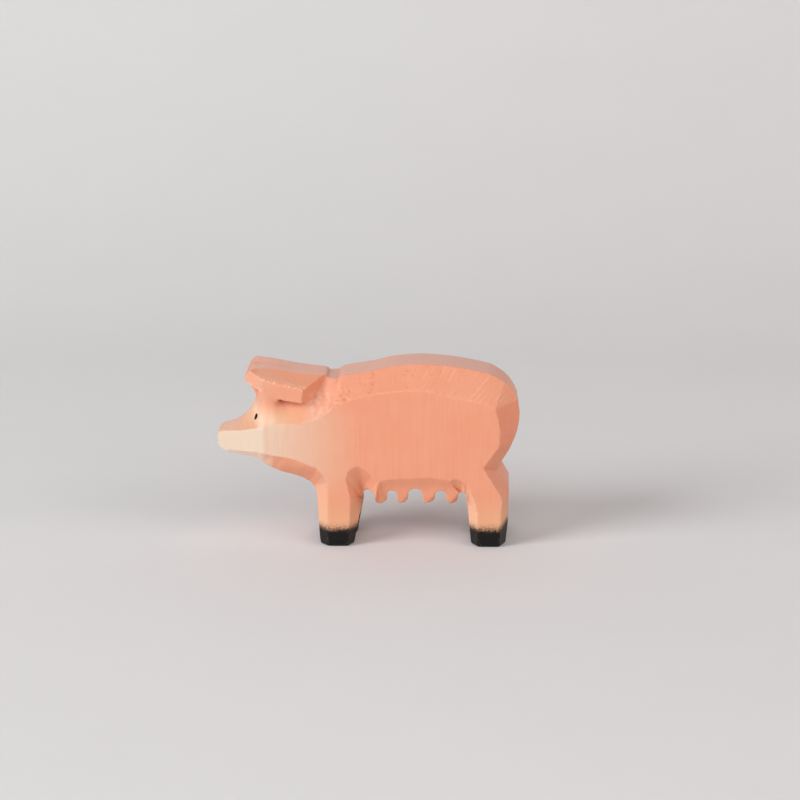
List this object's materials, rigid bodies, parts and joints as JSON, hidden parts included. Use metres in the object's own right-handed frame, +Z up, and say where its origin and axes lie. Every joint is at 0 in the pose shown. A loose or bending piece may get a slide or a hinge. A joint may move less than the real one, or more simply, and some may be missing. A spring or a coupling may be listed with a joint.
{
  "type": "carved wooden toy sow",
  "caption": "Carved and painted wooden toy sow with facets cut by knife, ears folded over the brow, a blunt snout, rows of teats and black hooves.",
  "frame": {"origin": "centre of the toy's bounding box on the ground between the hooves", "axes": "+X from snout to rump, -Y the toy's left side, +Z up"},
  "size_m": [0.105, 0.029, 0.0637],
  "materials": {
    "pink_paint": "satin pink paint on wood",
    "cream_paint": "satin cream paint on wood",
    "black_paint": "satin black paint on wood"
  },
  "bodies": {
    "root": {"neck": "pink_paint", "trunk": "pink_paint", "udder": "pink_paint", "leg_front_left": "pink_paint", "leg_front_right": "pink_paint", "leg_hind_left": "pink_paint", "leg_hind_right": "pink_paint", "ear_left": "pink_paint", "ear_right": "pink_paint", "snout": "cream_paint", "head": "cream_paint", "eye_left": "black_paint", "eye_right": "black_paint", "hoof_front_left": "black_paint", "hoof_front_right": "black_paint", "hoof_hind_left": "black_paint", "hoof_hind_right": "black_paint"}
  },
  "joints": []
}
